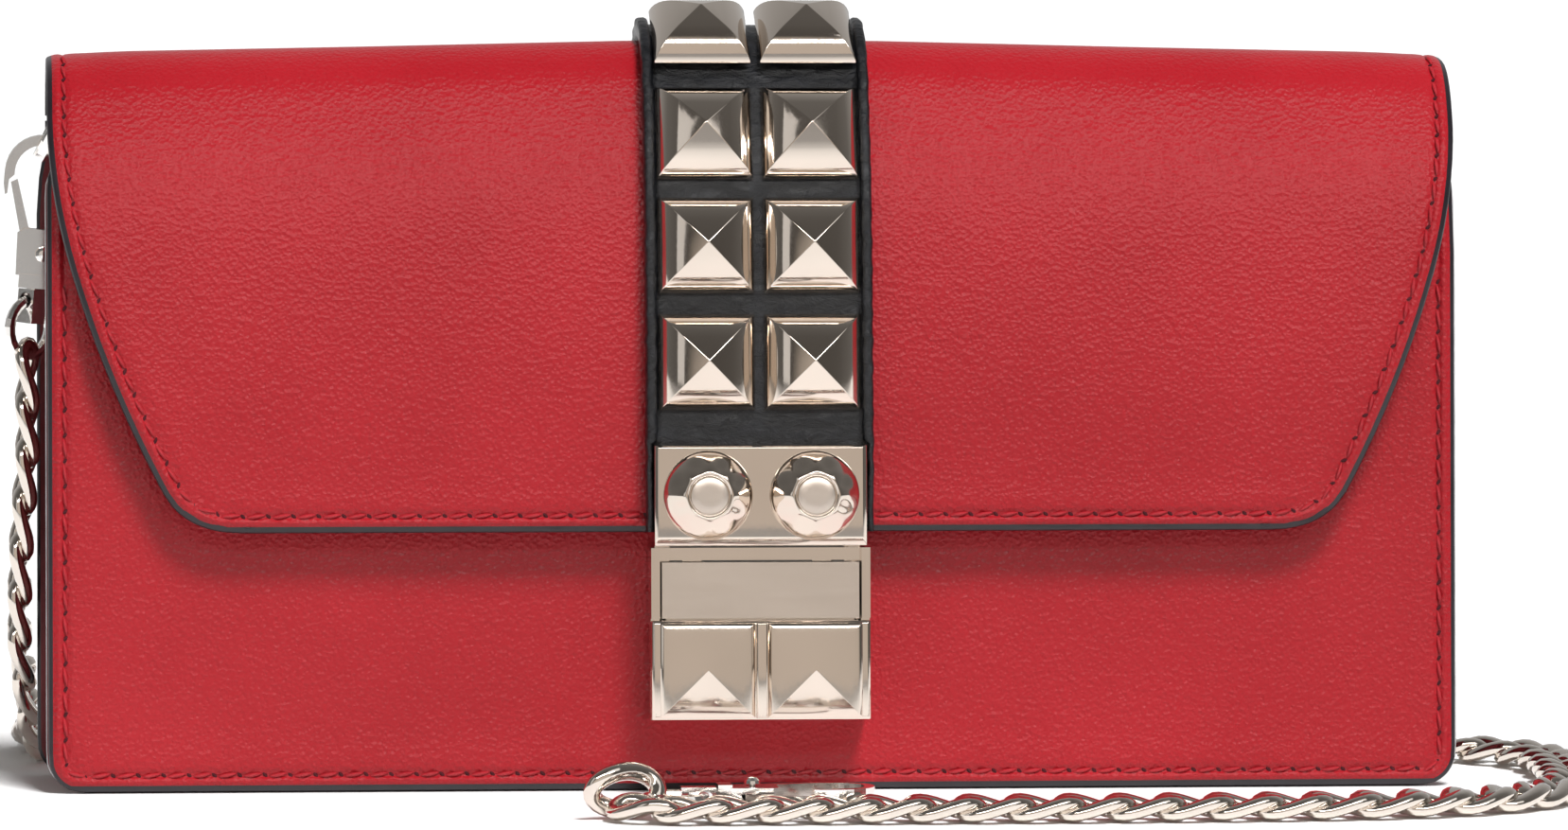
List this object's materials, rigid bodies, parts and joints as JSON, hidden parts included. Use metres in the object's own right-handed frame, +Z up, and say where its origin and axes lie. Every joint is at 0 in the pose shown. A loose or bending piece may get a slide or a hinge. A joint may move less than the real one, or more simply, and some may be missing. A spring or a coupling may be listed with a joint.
{
  "type": "chain wallet",
  "caption": "Slim leather chain wallet with a curved front flap, a studded strap, a press lock, and a detachable curb-chain strap on snap hooks.",
  "frame": {"origin": "middle of the underside of the base, on the ground", "axes": "+X to the right seen from the front, +Y from front to back, +Z up"},
  "size_m": [0.2181, 0.1438, 0.109],
  "materials": {
    "red_leather": "pebbled grain, satin",
    "trim_leather": "smooth, satin",
    "black_leather": "crackled, glossy",
    "polished_nickel": "polished",
    "satin_nickel": "satin",
    "chain_nickel": "polished",
    "steel": "plain",
    "zip_fabric": "woven"
  },
  "bodies": {
    "wallet": {"front_panel": "red_leather", "back_panel": "red_leather", "base_strip": "trim_leather", "side_gusset_left": "trim_leather", "side_gusset_right": "trim_leather", "strap_tail": "black_leather", "lock_base": "polished_nickel", "lock_lower_plate": "polished_nickel", "lock_back_plate": "steel", "lock_screw_left": "steel", "lock_screw_right": "steel", "latch_spring_left": "steel", "latch_spring_right": "steel", "ring_tab_left": "trim_leather", "ring_tab_right": "trim_leather", "zip_pocket_front": "trim_leather", "zip_pocket_back": "trim_leather", "zip_pocket_base": "trim_leather", "zip_tape": "zip_fabric", "zip_teeth": "polished_nickel", "card_panel_1": "trim_leather", "card_panel_2": "trim_leather", "card_panel_3": "trim_leather", "chain_hanging": "chain_nickel", "chain_behind": "chain_nickel", "chain_front": "chain_nickel", "hook2_body": "polished_nickel", "hook2_rivet": "polished_nickel"},
    "flap": {"flap_leather": "red_leather", "flap_lining": "trim_leather", "strap": "black_leather", "stud_left_1": "polished_nickel", "stud_right_1": "polished_nickel", "stud_left_2": "polished_nickel", "stud_right_2": "polished_nickel", "stud_left_3": "polished_nickel", "stud_right_3": "polished_nickel", "stud_left_4": "polished_nickel", "stud_right_4": "polished_nickel", "lock_upper_plate": "polished_nickel", "dome_left": "polished_nickel", "dome_right": "polished_nickel"},
    "push_bar": {"push_bar": "satin_nickel"},
    "latch": {"latch_slide": "steel"},
    "ring_left": {"d_ring_left": "polished_nickel"},
    "hook1": {"hook1_body": "polished_nickel", "hook1_rivet": "polished_nickel"},
    "hook1_gate": {"hook1_gate": "polished_nickel"},
    "hook1_swivel": {"hook1_swivel": "polished_nickel", "hook1_ring": "polished_nickel"},
    "ring_right": {"d_ring_right": "polished_nickel"},
    "hook2_gate": {"hook2_gate": "polished_nickel"},
    "hook2_swivel": {"hook2_swivel": "polished_nickel", "hook2_ring": "polished_nickel"},
    "zip_slider": {"zip_slider": "polished_nickel"},
    "zip_puller": {"zip_puller": "polished_nickel"}
  },
  "joints": [
    {"name": "flap_fold", "type": "hinge", "parent": "wallet", "child": "flap", "pos_m": [0, 0.0142, 0.0921], "axis": [-1, 0, 0], "range_deg": [0, 170]},
    {"name": "push_slide", "type": "slide", "parent": "wallet", "child": "push_bar", "axis": [0, 0.9978, -0.0663], "range_m": [0, 0.0018], "stiffness_N_per_m": 300, "springref_m": -0.001},
    {"name": "latch_slide", "type": "slide", "parent": "wallet", "child": "latch", "axis": [0, -0.0663, -0.9978], "range_m": [0, 0.0027], "stiffness_N_per_m": 200, "springref_m": -0.001, "deforming": ["latch_spring_left", "latch_spring_right"]},
    {"name": "ring_left_swing", "type": "hinge", "parent": "wallet", "child": "ring_left", "pos_m": [-0.0944, 0.0061, 0.0946], "axis": [0, 1, 0], "range_deg": [0, 30]},
    {"name": "hook1_swing", "type": "hinge", "parent": "ring_left", "child": "hook1", "pos_m": [-0.09826, 0.0061, 0.08703], "axis": [0, 1, 0], "range_deg": [-4, 20]},
    {"name": "hook1_gate_pivot", "type": "hinge", "parent": "hook1", "child": "hook1_gate", "pos_m": [-0.09798, 0.0061, 0.07326], "axis": [0, 1, 0], "range_deg": [0, 22], "stiffness_Nm_per_rad": 0.01, "springref_deg": -11.46},
    {"name": "hook1_swivel_turn", "type": "hinge", "parent": "hook1", "child": "hook1_swivel", "pos_m": [-0.09929, 0.0061, 0.06856], "axis": [0.0872, 0, 0.9962], "continuous": true},
    {"name": "ring_right_swing", "type": "hinge", "parent": "wallet", "child": "ring_right", "pos_m": [0.0944, 0.0061, 0.0946], "axis": [0, -1, 0], "range_deg": [-8, 85]},
    {"name": "hook2_gate_pivot", "type": "hinge", "parent": "wallet", "child": "hook2_gate", "pos_m": [-0.0036, -0.0492, 0.0028], "axis": [0, 0, 1], "range_deg": [0, 22], "stiffness_Nm_per_rad": 0.01, "springref_deg": -11.46},
    {"name": "hook2_swivel_turn", "type": "hinge", "parent": "wallet", "child": "hook2_swivel", "pos_m": [-0.0084, -0.0501, 0.0028], "axis": [1, 0, 0], "continuous": true},
    {"name": "zip_travel", "type": "slide", "parent": "wallet", "child": "zip_slider", "axis": [1, 0, 0], "range_m": [0, 0.146]},
    {"name": "puller_flip", "type": "hinge", "parent": "zip_slider", "child": "zip_puller", "pos_m": [-0.074, 0.00555, 0.0801], "axis": [0, -1, 0], "range_deg": [0, 170]}
  ],
  "couplings": [
    {"joint": "latch_slide", "follows": "push_slide", "ratio": 1.5}
  ]
}
